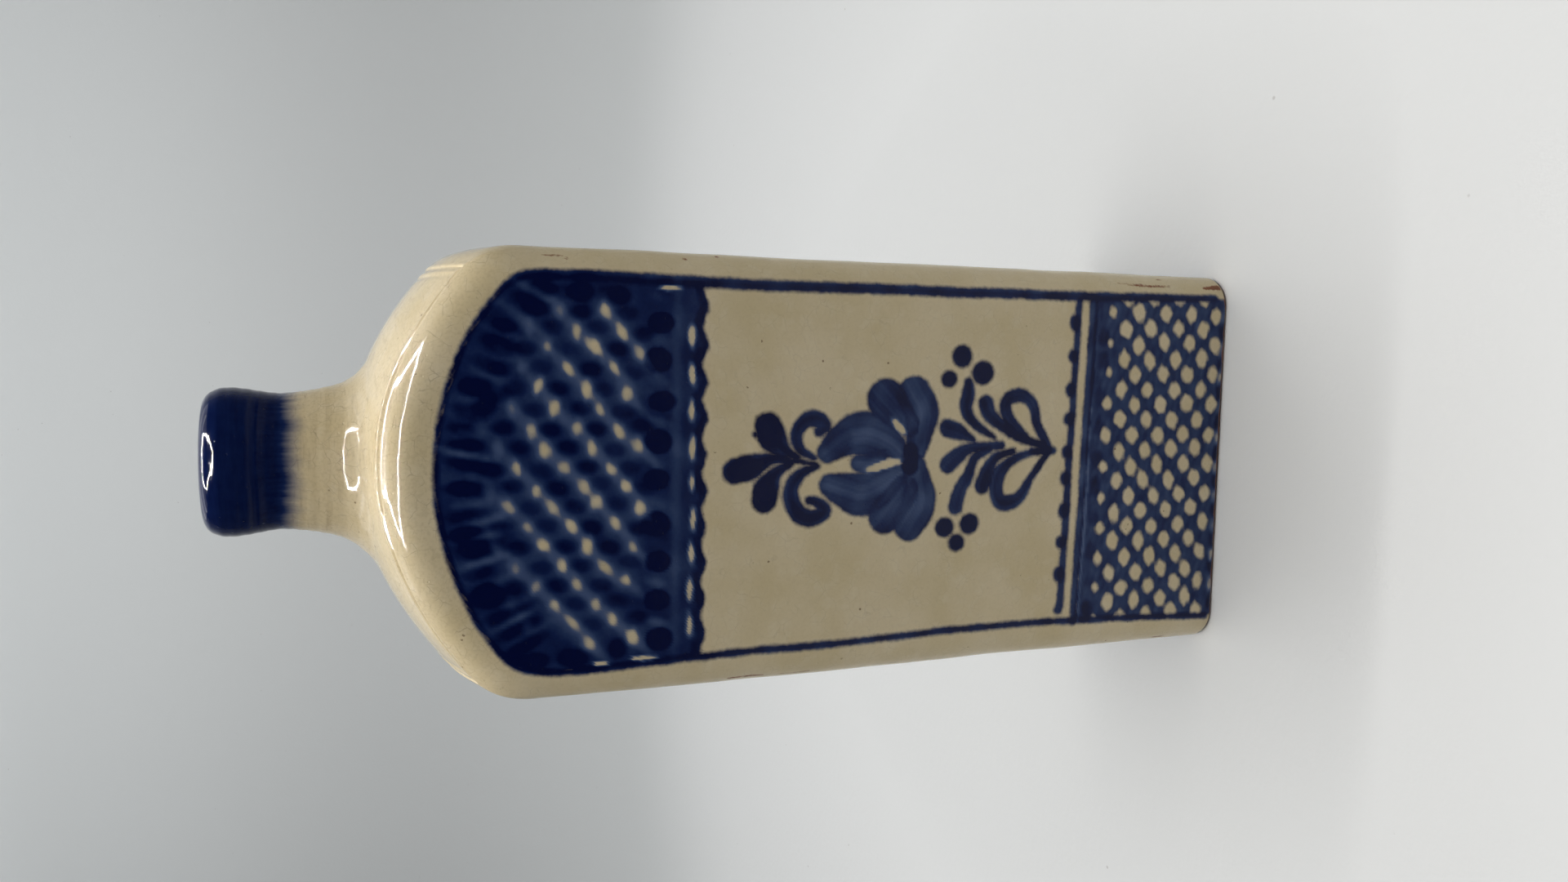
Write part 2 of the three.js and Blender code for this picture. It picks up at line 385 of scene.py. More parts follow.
# The painted frame of a panel, up its left side, over the arch and down its right side.
FRAME_LINE = [
    (-42.7, 2.4, 1.0), (-40.9, 44.5, 1.0), (-40.6, 74.5, 1.0), (-40.8, 97.5, 1.0),
    (-41.3, 119.5, 1.0), (-41.3, 140.0, 1.0), (-41.9, 159.0, 1.0), (-42.5, 177.5, 1.0),
    (-41.7, 186.0, 0.9), (-39.4, 191.0, 0.8), (-32.6, 196.2, 0.7), (-25.3, 200.0, 0.7),
    (-18.3, 202.7, 0.7), (-11.4, 204.5, 0.7), (-4.7, 205.6, 0.7), (2.1, 205.9, 0.7),
    (8.8, 205.5, 0.7), (15.4, 204.4, 0.7), (22.0, 202.5, 0.7), (28.6, 200.0, 0.7),
    (35.3, 196.2, 0.7), (41.2, 191.4, 0.9), (43.4, 187.0, 1.2), (43.6, 178.0, 1.4),
    (43.4, 160.0, 1.4), (43.2, 141.0, 1.4), (43.2, 121.0, 1.4), (43.1, 77.5, 1.4),
    (43.3, 41.0, 1.3), (43.7, 23.0, 1.2), (44.0, 4.0, 1.1),
]
SIDE_DABS = [(-39.5, 186, 2.2, 4), (-39.3, 177, 2.4, 4), (-38, 167.3, 2.6, 2.4),
             (-24.5, 195, 3.0, 4), (-11.5, 199, 2.3, 4.2), (40.6, 184, 2.2, 3.6),
             (40, 176, 2.4, 3), (39.5, 167.5, 2.4, 2.8)]
CROWN = [
    [(0.8, 140.5, 2.9), (1.8, 136.5, 2.8), (3.4, 131.5, 1.2), (3, 127, 0.7), (2, 120.5, 0.5)],
    [(-6, 133.3, 3), (-3.2, 132.6, 3), (0.2, 130.4, 1.4), (2.3, 126.5, 0.6)],
    [(11, 132.6, 3.2), (8.3, 131.4, 3.3), (5.4, 128.6, 1.5), (3.7, 125, 0.7)],
    [(9.2, 135.6, 0.7)], [(12.8, 134.8, 0.6)],
]
CURLS = [
    [(1.5, 120, 0.6), (0, 124, 1.3), (-3, 126.5, 1.7), (-6.5, 126.5, 1.9), (-10, 124, 2.1),
     (-10.5, 120.5, 1.9), (-9, 118, 1.7), (-7, 120, 1.2), (-6.5, 122, 1)],
    [(3.5, 121, 0.6), (5.5, 124.5, 1.1), (9, 125.5, 1.5), (12, 123.5, 1.7), (12.5, 120.5, 1.9),
     (11, 118, 1.3), (9.5, 120, 1.1)],
]
PETALS = [
    [(-3, 117, 2.5), (-4.5, 112.5, 4.2), (-5.5, 107.5, 5.1), (-2.5, 101, 3.2), (0, 97.5, 1.6)],
    [(4.8, 117.5, 2.6), (8, 113, 4.2), (9, 107.5, 5.2), (6.5, 101, 3.4), (3.5, 97.5, 1.6)],
    [(2, 109.5, 2.1), (2, 106.5, 2.3), (4, 102.5, 1)],
    [(-11, 102, 4.2), (-5, 97, 3.6)], [(17, 102.5, 4.9), (11, 96.5, 2.8)],
    [(-13, 95.5, 4.2), (-8, 92.7, 4.4), (0.5, 94.2, 3)],
    [(18, 95, 4.5), (13.5, 92.7, 4.4), (4.8, 94.2, 2.8)],
]
HEART = [[(1, 95.6, 2), (4.6, 95.6, 1.8)]]
SHADES = [(-5.5, 133.4, 0.3), (1.0, 139, 0.25), (11, 133, 0.28), (7, 115, 0.2), (17.5, 100, 0.15),
          (-2.5, 101.5, -0.12), (-8, 94, -0.08), (9, 93, 0.12), (-10.5, 123, 0.12)]
PETAL_GAPS = [(10.5, 99, 2.2, 0.8, 0.8), (1.3, 103, 4.5, 0.9, 1.8)]
BERRIES = [(-18.5, 82, 2.1), (-14.5, 85.5, 2.4), (-14, 78.5, 2.5),
           (22, 85.5, 2), (27.5, 82, 2.6), (23.5, 76, 2.8)]
LEAVES = [
    [(1, 85, 2.2), (3, 82.5, 2), (5, 78.5, 1.2), (5.5, 70, 1)],
    [(10, 85.5, 2.2), (9, 82, 1.8), (7, 78, 0.6)],
    [(-9.5, 82.5, 2), (-5.5, 81.5, 1.8), (-1.5, 79, 1.4), (2.5, 77.5, 1.2), (4.5, 73.5, 0.8)],
    [(-4.5, 75, 2.1), (-1, 74, 1.8), (2.5, 71.5, 1.2), (4, 66.5, 0.8)],
    [(21, 80, 1.2), (18, 80, 1.8), (14.5, 80.5, 1.6), (11, 78, 1.2), (7.5, 72, 0.5)],
    [(16, 75, 2), (13, 73.5, 1.8), (10, 69, 1.4), (7, 64, 1), (5.5, 57.5, 0.8)],
    [(4, 61, 0.8), (4, 54.5, 0.8)],
]
LOOPS = [
    [(3.5, 56, 0.8), (-3, 61, 1), (-8, 64.5, 1.7), (-9, 69, 1.9), (-6.5, 71, 1.9), (-2, 70.5, 1.9),
     (1.5, 67, 1.2), (3.5, 61, 0.8), (3.5, 56, 0.8)],
    [(5, 56, 1), (10.5, 59.5, 1.2), (15.5, 61, 1.4), (18, 64.5, 1.6), (17, 68.5, 1.6),
     (14, 69, 1.6), (10, 66, 1.4), (6.5, 61.5, 1), (5, 56, 0.8)],
]


# Heights of the rows of the painted bands, and the middle of the flower.
BAND_FOOT, DASH_ROW, STRIPE_ROW, DOT_ROW = 148, 150.6, 154.4, 158.6
NET_TOP, NET_PITCH, NET_ROW = 44.5, 8.05, 8.5
LINE_FALL = 0.03        # how far the lines over the net fall towards the right, as a share
ARCH_CURVE = 0.0085
FLOWER_X, FLOWER_Z = 3, 95
BLOOM = 0.25            # how much fuller the flower's strokes are than their drawn widths


class Panel:
    """How a panel's pattern fits its wall. spread scales the frame, motif the flower, and drop
    lowers the arch where the shoulder is lower; flip draws it the other way round."""

    def __init__(self, seed, spread=1.0, motif=1.0, drop=0.0, flip=False):
        self.seed, self.spread, self.motif, self.drop = seed, spread, motif, drop
        self.side = -1 if flip else 1
        self.wide = spread > 0.9

    def arch_height(self, x, crest):
        return crest - self.drop - ARCH_CURVE * (x / self.spread) ** 2

    def framing(self, points):
        """Points of the frame, fitted to this wall."""
        return [(x * self.spread, z - self.drop * float(smoothstep(z, 120, 190)), r)
                for x, z, r in points]

    def flower(self, points):
        """Points of the flower, fitted to this wall."""
        size = self.motif
        return [((x - FLOWER_X) * size + FLOWER_X * self.spread, (z - FLOWER_Z) * size + FLOWER_Z,
                 (r + BLOOM) * size) for x, z, r in points]

    def paint(self, across, height):
        """The paint attributes of the points of this panel's wall."""
        brush = Brushwork(across * self.side, height, self.seed)
        self.upper_band(brush)
        for gap in PETAL_GAPS:
            self.petal_gap(brush, *gap)
        for group, tone, ways in (
            (PETALS, 0.68, {"streaks": 0.1, "core": -0.3, "soft": 0.3, "pool": 0.05}),
            (CROWN, 0.95, {"streaks": 0.08, "core": 0.3}),
            (CURLS, 0.84, {"streaks": 0.08, "core": 0.25}),
            (LEAVES, 0.84, {"streaks": 0.1, "core": 0.25}),
            (LOOPS, 0.8, {"streaks": 0.12, "core": 0.2}),
            (HEART, 1.1, {"core": 0.4}),
        ):
            brush.strokes([self.flower(points) for points in group], tone, **ways)
        for x, z, strength in SHADES:
            (x, z, size), = self.flower([(x, z, 1)])
            brush.soft_dab(x, z, 3.4 * size, 3.4 * size, strength)
        for x, z, radius in self.flower(BERRIES):
            brush.dot(x, z, radius, radius * 1.05, 1.0)
        self.bead_line(brush)
        self.lower_band(brush)
        brush.stroke(self.framing(FRAME_LINE), 0.86, streaks=0.1, core=0.25)
        clay = Brushwork(across * self.side, height, self.seed + 50)
        self.worn_edges(clay)
        return {"paint_edge": brush.edge, "paint_tone": brush.tone(), "clay_edge": clay.edge}

    def petal_gap(self, brush, x, z, width, height, turn):
        (x, z, size), = self.flower([(x, z, 1)])
        brush.gap(x, z, width * size, height * size, turn, 0.9, 0.35)

    def frame_edges(self, brush):
        """The frame line's place beside and over each point."""
        line = smooth_path(self.framing(FRAME_LINE), 4)
        top = int(np.argmax(line[:, 1]))
        left, right = line[:top + 1], line[top:][::-1]
        arch = line[line[:, 1] > line[top, 1] - 19]
        over = np.interp(brush.x, arch[:, 0], arch[:, 1])
        return (np.interp(brush.z, left[:, 1], left[:, 0]),
                np.interp(brush.z, right[:, 1], right[:, 0]), over)

    def upper_band(self, brush):
        """The cloudy band under the arch: a wash with pale gaps, dark dabs and a beaded foot."""
        draw, half = brush.draw, 42 * self.spread
        left, right, over = self.frame_edges(brush)
        wavy = BAND_FOOT + 0.55 * np.sin(brush.x * 2 * math.pi / 8.2 + 1) + brush.shake * 3
        inside = np.minimum(np.minimum(brush.x - left, right - brush.x),
                            np.minimum(over - brush.z, brush.z - wavy))
        inside = np.minimum(inside, 4)
        cloud = waves(np.stack([brush.x, brush.z], -1), 9, self.seed + 3)
        where = brush.near(-99, 99, 140, 215)
        brush.lay(where, inside[where], (0.8 + 0.06 * cloud)[where])
        dabs = [self.framing([(x, z, 1)])[0][:2] + (width, height)
                for x, z, width, height in SIDE_DABS]
        for row in range(-8, 9):
            for column in range(-12, 13):
                x = 2.5 + 4.3 * column + 4.2 * row + draw.normal(0, 0.4)
                z = 189 - self.drop + 3.8 * column - 5.9 * row + draw.normal(0, 0.4)
                arch = self.arch_height(x, 206)
                covered = any(math.hypot((x - dab[0]) / (dab[2] + 1.2),
                                         (z - dab[1]) / (dab[3] + 1)) < 1 for dab in dabs)
                if covered or abs(x) > half - 2.5 or z < 162.5 or z > arch - 4:
                    continue
                faint = float(smoothstep(arch - z, 6, 20))
                bright = (0.1 + 0.85 * faint) * draw.uniform(0.62, 1)
                brush.gap(x, z, draw.uniform(1.2, 1.9), draw.uniform(0.85, 1.25),
                          draw.normal(0.1, 0.35), bright, 0.8)
                brush.gap(x, z + 0.4, 2.9, 2.3, 0.3, 0.32 * faint, 0.95)
                brush.gap(x - 2.1, z - 2, 3.4, 1.0, 0.75, 0.3 * faint, 0.95)
                brush.soft_dab(x + 4.2, z - 1, 1.9, 2.9, draw.uniform(0.1, 0.3))
        for x in np.arange(-half + 3, half - 2, 4.6):
            x = x + draw.normal(0, 0.9)
            start = self.arch_height(x, 205)
            lean = x / half * 4.5 + draw.normal(0, 1)
            length = draw.uniform(6, 13)
            brush.soft_dab(x - lean / 2, start - length / 2, draw.uniform(1.5, 2.6),
                          length / 2, draw.uniform(0.2, 0.35), math.atan2(lean, length))
            brush.gap(x + 2.5 - lean / 2, start - draw.uniform(4, 8), draw.uniform(3, 6), 0.9,
                      math.pi / 2 - math.atan2(lean, length), draw.choice([0.1, 0.22, 0.4]), 0.95)
        for x, z, width, height in dabs:
            brush.soft_dab(x, z, width, height, 0.4)
        dots = np.arange(-37, 40, 9.0) if self.wide else np.arange(-half + 4, half - 2, 8.2)
        for x in dots:
            brush.dot(x + draw.normal(0, 0.5), DOT_ROW + draw.normal(0, 0.4),
                      draw.uniform(2.1, 2.7), draw.uniform(2.7, 3.3), 1.12)
            brush.gap(x + 4.3, 158.5, 2.2, 1.0, 1.3, draw.uniform(0.1, 0.45), 0.9)
        brush.gap(0.5, STRIPE_ROW, 1.1 * half, 1.2, 0, 0.2, 0.8)
        for x in np.arange(-34, 36, 8.15):
            if abs(x) < half - 3:
                brush.gap(x, DASH_ROW + draw.normal(0, 0.2), 2.5 + draw.normal(0, 0.3), 0.85,
                          draw.normal(0, 0.05), 0.9, 0.5)
        foot = brush.near(-half + 1, half, 145, 152)
        brush.lay(foot, 1.1 - np.abs(brush.z[foot] - wavy[foot] - 0.7), 0.78)
        for x, z, length in ((-41.2, 171.5, 1.6), (-40.8, 161.5, 3.6), (41.6, 156.5, 2.8)):
            brush.gap(x * self.spread, z, length, 0.6, math.pi / 2, 0.95, 0.4)

    def bead_line(self, brush):
        """The beaded line under the flower, and the plain one below it."""
        draw, half = brush.draw, 41 * self.spread
        brush.stroke([(-half + 3.4, 51, 1.5), (-half + 8, 50.4, 1.2), (0, 49.5, 1.15),
                      (half + 0.7, 48.2, 1.1)], 0.8, streaks=0.1, core=0.2)
        for x in np.arange(-28, 42, 8.0):
            if abs(x) < half:
                x = x + draw.normal(0, 0.4)
                brush.dot(x, 50.3 - LINE_FALL * x, draw.uniform(1.9, 2.3),
                          draw.uniform(1.7, 2.0), 0.84)
        brush.stroke([(-half, 46.3, 1.2), (0, 45.0, 1.3), (half + 1.2, 43.6, 1.4)],
                     0.72, streaks=0.15)

    def lower_band(self, brush):
        """The net of crossing strokes over the foot, with its rows of darker dabs."""
        draw = brush.draw
        left, right, _ = self.frame_edges(brush)
        inside = np.minimum(np.minimum(brush.x - left, right - brush.x),
                            np.minimum(brush.z - 0.3, NET_TOP - LINE_FALL * brush.x - brush.z))
        place = np.stack([brush.x, brush.z], -1)
        cloud, grain = waves(place, 7, self.seed + 4), waves(place, 2.5, self.seed + 5)
        where = brush.near(-99, 99, -5, 48)
        brush.lay(where, np.minimum(inside, 4)[where], (0.7 + 0.05 * cloud + 0.05 * grain)[where])
        for row in range(6):
            for column in range(-6, 7):
                for shift, lift in ((0, 0), (4.02, 4.25)):
                    x = -0.6 + NET_PITCH * column + shift + draw.normal(0, 0.2)
                    z = 38.6 - NET_ROW * row + lift - LINE_FALL * x + draw.normal(0, 0.2)
                    if z > 40.5 or z < 2.5:
                        continue
                    small = draw.uniform(0.5, 0.95) if z > 36.5 else 1
                    brush.opening(x, z, draw.uniform(2.1, 2.5) * small,
                                  draw.uniform(1.65, 2.0) * small, draw.normal(0.12, 0.12))
        for x in np.arange(-38, 42, NET_PITCH):
            brush.soft_dab(x + draw.normal(0, 0.6), 41 - LINE_FALL * x, 2.8, 2.2,
                          draw.uniform(0.1, 0.35))
            brush.soft_dab(x + draw.normal(0, 1), 1.2, 3.2, 1.6, draw.uniform(0.2, 0.4))
            brush.gap(x + 4.2, 1.4, 2.0, 0.9, -0.1, draw.uniform(0.3, 0.95), 0.6)
        brush.gap(-14, 44.0, 25, 0.45, -LINE_FALL, 0.5, 0.8)

    def worn_edges(self, clay):
        """Corners where the glaze ran thin and the red clay shows."""
        if self.seed == 1:
            clay.strokes([
                [(47.7, 178.5, 0.4)], [(49.2, 152, 0.5)], [(51, 144, 0.5)], [(48.2, 137.5, 0.3)],
                [(47.4, 35, 0.2), (47, 26, 0.4), (47.3, 18, 0.2)], [(47, 7, 0.5), (47.4, 2, 0.9)],
            ], 1.0)
        draw = clay.draw
        reach = SEAM - 3 if self.wide else QUARTER - SEAM - 1
        for _ in range(5):
            x = draw.choice([-1, 1]) * (reach + draw.normal(0, 0.5))
            z, length = draw.uniform(3, 185), draw.uniform(0, 9)
            clay.stroke([(x, z, 0.2), (x + draw.normal(0, 0.3), z + length / 2, 0.3),
                         (x, z + length, 0.2)], 1.0)


# ---- node trees ----

class Value:
    """A number in a node tree. Sums written with it add the Math nodes that work them out."""

    def __init__(self, graph, socket):
        self.graph, self.socket = graph, socket

    def maths(self, operation, *others):
        inputs = dict(enumerate((self,) + others))
        node = self.graph.node("ShaderNodeMath", {"operation": operation}, inputs)
        return Value(self.graph, node.outputs[0])

    def __add__(self, other):
        return self.maths("ADD", other)

    def __sub__(self, other):
        return self.maths("SUBTRACT", other)

    def __mul__(self, other):
        return self.maths("MULTIPLY", other)

    def __truediv__(self, other):
        return self.maths("DIVIDE", other)

    def __rsub__(self, other):
        return (self * -1.0) + other

    __radd__, __rmul__ = __add__, __mul__

    def sine(self):
        return self.maths("SINE")

    def higher(self, other):
        return self.maths("MAXIMUM", other)

    def between(self, low, high):
        """0 below low, 1 above high, and a soft step from one to the other."""
        node = self.graph.node("ShaderNodeMapRange", {"interpolation_type": "SMOOTHSTEP"},
                               {"Value": self, "From Min": low, "From Max": high})
        return Value(self.graph, node.outputs[0])


class Graph:
    """Writes nodes into a tree."""

    def __init__(self, tree):
        self.tree = tree

    def node(self, kind, settings=None, sockets=None):
        """A node of this kind. Its settings are set first, and then its sockets' values or
        links, each by name or number."""
        node = self.tree.nodes.new(kind)
        for key, value in (settings or {}).items():
            if key == "stops":
                ramp = node.color_ramp
                while len(ramp.elements) < len(value):
                    ramp.elements.new(0.5)
                for element, (place, colour) in zip(ramp.elements, value):
                    element.position, element.color = place, (*colour, 1)
            else:
                setattr(node, key, value)
        for key, value in (sockets or {}).items():
            value = getattr(value, "socket", value)
            if isinstance(value, bpy.types.NodeSocket):
                self.tree.links.new(value, node.inputs[key])
            else:
                node.inputs[key].default_value = value
        return node

    def value(self, kind, settings=None, sockets=None, output=0):
        return Value(self, self.node(kind, settings, sockets).outputs[output])


class Finish(Graph):
    """A material, with the patterns that its colours are worked out from."""

    def __init__(self, name):
        self.material = bpy.data.materials.new(name)
        self.material.use_nodes = True
        super().__init__(self.material.node_tree)
        self.tree.nodes.clear()
        self.place = self.node("ShaderNodeTexCoord").outputs["Object"]
        self.parts = self.node("ShaderNodeSeparateXYZ", None, {0: self.place}).outputs

    def stretched(self, x, y, z):
        """The place on the piece, with each direction scaled."""
        return self.node("ShaderNodeVectorMath", {"operation": "MULTIPLY"},
                         {0: self.place, 1: (x, y, z)}).outputs[0]

    def noise(self, size, detail=2.0, place=None):
        """A cloudy pattern, about 0 to 1, with clouds of this size in millimetres."""
        return self.value("ShaderNodeTexNoise", {"noise_dimensions": "3D"}, {
            "Vector": place or self.place, "Scale": 1 / (size * MM), "Detail": detail})

    def cells(self, size, feature, place=None):
        return self.value("ShaderNodeTexVoronoi", {"feature": feature}, {
            "Vector": place or self.place, "Scale": 1 / (size * MM)})

    def attribute(self, name):
        return self.value("ShaderNodeAttribute", {"attribute_name": name}, None, 2)

    def mix(self, factor, first, second):
        """A colour between two."""
        first, second = ((*colour, 1) if isinstance(colour, tuple) else colour
                         for colour in (first, second))
        node = self.node("ShaderNodeMix", {"data_type": "RGBA"}, {
            0: factor, 6: first, 7: second})
        return node.outputs[2]

    def layer(self, under, *coats):
        """A colour under others, each given with how much of it shows."""
        for factor, colour in coats:
            under = self.mix(factor, under, colour)
        return under

    def surface(self, colour, roughness, bumps, depth, constants):
        """The shader and the output."""
        bump = self.node("ShaderNodeBump", None, {
            "Height": bumps, "Distance": depth * MM, "Strength": 1.0})
        shader = self.node("ShaderNodeBsdfPrincipled", None, {
            "Base Color": colour, "Roughness": roughness, "Normal": bump.outputs[0], **constants})
        self.node("ShaderNodeOutputMaterial", None, {"Surface": shader.outputs[0]})
        return self.material


def scaled(colour, *shares):
    """A colour with its red, green and blue scaled, by one share or by three."""
    return tuple(part * share for part, share in zip(colour, shares * (3 // len(shares))))


def glaze_finish(name, colours, dipped):
    """Cream glaze with cobalt brushwork under a clear gloss, red clay where it wore thin, and
    the blue dip of the mouth. dipped is for the lip, where the blue covers all."""
    finish = Finish(name)
    height = Value(finish, finish.parts[2]) / MM
    cloud, soft = finish.noise(16, 3), finish.noise(3.2, 3)
    fine = finish.noise(0.7, 2)

    threads = finish.noise(1.0, 3, finish.stretched(0.16, 0.16, 1.4))
    thrown = height.between(200, 216)
    grain = fine.between(0.42, 0.7) * (height.between(182, 200) * 0.07 + 0.04)
    crack = finish.cells(3.4, "DISTANCE_TO_EDGE",
                         finish.node("ShaderNodeVectorMath", {"operation": "MULTIPLY_ADD"}, {
                             0: finish.node("ShaderNodeTexNoise", None, {
                                 "Vector": finish.place, "Scale": 300.0}).outputs[1],
                             1: (0.002, 0.002, 0.002), 2: finish.place}).outputs[0])
    crazing = (1 - crack.between(0.0, 0.035)) * soft.between(0.42, 0.62)
    specks = 1 - finish.cells(5.5, "F1").between(0.035, 0.075)
    glaze, speck = tuple(colours.glaze), tuple(colours.speck)
    cream = finish.layer(
        glaze, (cloud.between(0.3, 0.75), scaled(glaze, 0.9, 0.88, 0.8)),
        (soft.between(0.45, 0.8) * 0.14, (0.85, 0.8, 0.66)), (grain, speck),
        ((threads.between(0.56, 0.72) * thrown) * 0.16, speck),
        (crazing * (height.between(186, 204) * 0.18 + 0.12), speck),
        (specks * fine.between(0.4, 0.55) * 0.8, speck))

    if dipped:
        tone = 0.84 + soft * 0.14 + (threads - 0.5) * 0.15
    else:
        edge = finish.attribute("paint_edge") + (soft - 0.5) * 0.4 + (fine - 0.5) * 0.3
        painted = edge.between(-0.6, 0.6)
        drips = finish.noise(5.5, 2, finish.stretched(1, 1, 0.1))
        hairs = finish.noise(1.1, 2, finish.stretched(1, 1, 0.12))
        rim_place = height + (drips - 0.5) * 3.4 + (hairs - 0.5) * 1.5
        rim = rim_place.between(230.2, 235.6)
        cover = painted.higher(rim)
        tone = finish.attribute("paint_tone") * (1 - rim) \
            + rim * (0.3 + hairs * 0.16 + rim_place.between(231, 237.5) * 0.54)
        tone = tone * (0.88 + soft * 0.16 + fine * 0.1)
    colour = finish.node("ShaderNodeValToRGB", {"stops": [
        (0.0, colours.cobalt_thin), (0.45, colours.cobalt_wash), (0.66, colours.cobalt_stroke),
        (0.82, colours.cobalt_deep), (1.0, colours.cobalt_dark)]}, {0: tone}).outputs[0]
    roughness = 0.05 + fine * 0.03
    if not dipped:
        clay_noise = (fine - 0.5) * 0.8 + (soft - 0.5) * 0.5
        foot = (height * -1 + (soft - 0.5) * 2.2).between(-1.1, -0.4)
        bare = (finish.attribute("clay_edge") + clay_noise).between(-0.25, 0.3).higher(foot * 0.85)
        clay = finish.mix(soft, tuple(colours.clay), scaled(colours.clay, 0.45))
        colour = finish.layer(cream, (cover * tone.between(0.0, 0.42), colour), (bare, clay))
        roughness += bare * 0.5
    pits = (1 - finish.cells(2.6, "F1").between(0.05, 0.11)) * -0.5
    bumps = soft * 0.5 + fine * 0.12 + pits + finish.noise(9, 1) * 0.9
    return finish.surface(colour, roughness, bumps, 0.12, {
        "IOR": 1.45, "Specular IOR Level": 0.15, "Coat Weight": 0.1, "Coat Roughness": 0.04})


def clay_finish(name, colours):
    """The wiped underside: red clay with a skin of glaze left in places."""
    finish = Finish(name)
    cloud, grain = finish.noise(14, 3), finish.noise(0.6, 2)
    wiped = finish.noise(2.0, 3, finish.stretched(0.25, 1, 1))
    skin = (wiped + cloud * 0.6 - 0.3).between(0.42, 0.6)
    colour = finish.layer(
        tuple(colours.clay), (cloud.between(0.3, 0.7), scaled(colours.clay, 0.6)),
        (skin * 0.55, tuple(colours.glaze)),
        (grain.between(0.6, 0.75) * 0.4, tuple(colours.speck)))
    return finish.surface(colour, 0.75 - skin * 0.3, grain * 0.5 + wiped * 0.5, 0.3, {})


def stage_finish_with_painted_shade_and_light(name, colours):
    """A pale floor that turns to a cool grey backdrop further back. Painted shade darkens the floor
    in front, and painted light brightens the backdrop upwards.
    """
    finish = Finish(name)
    away = finish.value("ShaderNodeVectorMath", {"operation": "LENGTH"}, {0: finish.place}, 1)
    before = Value(finish, finish.parts[1]) * -1.0
    height = Value(finish, finish.parts[2])
    dust = 1 - finish.cells(22, "F1").between(0.012, 0.03)
    colour = finish.layer(
        tuple(colours.floor), (away.between(0.42, 0.68), tuple(colours.backdrop)),
        # Painted shade: the floor in front darkens to a third of its colour, so the glaze reflects
        # dark there.
        (before.between(0.3, 0.6), scaled(colours.floor, 0.3)),
        # Painted light: the backdrop lightens upwards to 1.7 times its own colour.
        (height.between(0.08, 0.6), scaled(colours.backdrop, 1.7)),
        (dust * 0.4, (0.25, 0.22, 0.2)))
    return finish.surface(colour, 0.6, finish.noise(3, 2), 0.1, {"Specular IOR Level": 0.25})


# ---- throwing lines ----

def throwing_lines_tree():
    """Rings left by the fingers as the neck turned on the wheel, deeper towards the mouth."""
    tree = bpy.data.node_groups.new("Throwing lines", "GeometryNodeTree")
    face = tree.interface
    face.new_socket("Piece", in_out="INPUT", socket_type="NodeSocketGeometry")
    for name, kind, default in (
        ("Ring depth", "NodeSocketFloat", 0.0001), ("Ring pitch", "NodeSocketFloat", 0.0026),
        ("Lowest ring", "NodeSocketFloat", 0.2), ("Wander", "NodeSocketFloat", 1.5),
        ("Middle", "NodeSocketFloat", 0.0), ("Finish", "NodeSocketMaterial", None),
    ):
        socket = face.new_socket(name, in_out="INPUT", socket_type=kind)
        if default is not None:
            socket.default_value = default
    face.new_socket("Piece", in_out="OUTPUT", socket_type="NodeSocketGeometry")
    graph = Graph(tree)
    given = graph.node("NodeGroupInput").outputs
    place = graph.node("GeometryNodeInputPosition").outputs[0]
    x, y, z = (Value(graph, socket)
               for socket in graph.node("ShaderNodeSeparateXYZ", None, {0: place}).outputs)
    flat = graph.node("ShaderNodeCombineXYZ", None, {0: x - Value(graph, given["Middle"]), 1: y})
    outward = graph.node("ShaderNodeVectorMath", {"operation": "NORMALIZE"}, {0: flat.outputs[0]})
    drift = graph.value("ShaderNodeTexNoise", {"noise_dimensions": "4D"},
                        {"Vector": place, "W": 3.0, "Scale": 45.0, "Detail": 2.0})
    turn = z * (2 * math.pi) / Value(graph, given["Ring pitch"]) \
        + (drift - 0.5) * Value(graph, given["Wander"]) * 4
    ring = turn.sine() + (turn * 2.7).sine() * 0.35
    lowest = Value(graph, given["Lowest ring"])
    risen = ((z - lowest) / 0.02).between(0.0, 1.0)
    push = ring * risen * Value(graph, given["Ring depth"])
    offset = graph.node("ShaderNodeVectorMath", {"operation": "SCALE"},
                        {0: outward.outputs[0], "Scale": push})
    moved = graph.node("GeometryNodeSetPosition", None,
                       {"Geometry": given["Piece"], "Offset": offset.outputs[0]})
    real = graph.node("GeometryNodeRealizeInstances", None, {0: moved.outputs[0]})
    coated = graph.node("GeometryNodeSetMaterial", None,
                        {"Geometry": real.outputs[0], "Material": given["Finish"]})
    graph.node("NodeGroupOutput", None, {0: coated.outputs[0]})
    return tree


def throw(piece, material, sizes):
    """Puts the throwing lines into a ring of clay, and makes the result its mesh."""
    tree = bpy.data.node_groups.get("Throwing lines") or throwing_lines_tree()
    modifier = piece.modifiers.new("Throwing lines", "NODES")
    modifier.node_group = tree
    wanted = {"Ring depth": sizes.ring_depth, "Ring pitch": sizes.ring_pitch, "Wander": 1.2,
              "Lowest ring": LOWEST_RING * MM, "Middle": NECK_X * MM, "Finish": material}
    for socket in tree.interface.items_tree:
        if socket.in_out == "INPUT" and socket.name in wanted:
            modifier[socket.identifier] = wanted[socket.name]
    ready = piece.evaluated_get(bpy.context.evaluated_depsgraph_get())
    mesh = bpy.data.meshes.new_from_object(ready)
    piece.modifiers.remove(modifier)
    plain, piece.data = piece.data, mesh
    bpy.data.meshes.remove(plain)
    mesh.name = piece.name


# ---- meshes ----

def add_object(name, data):
    """An object in the scene's collection."""
    thing = bpy.data.objects.new(name, data)
    bpy.context.scene.collection.objects.link(thing)
    return thing


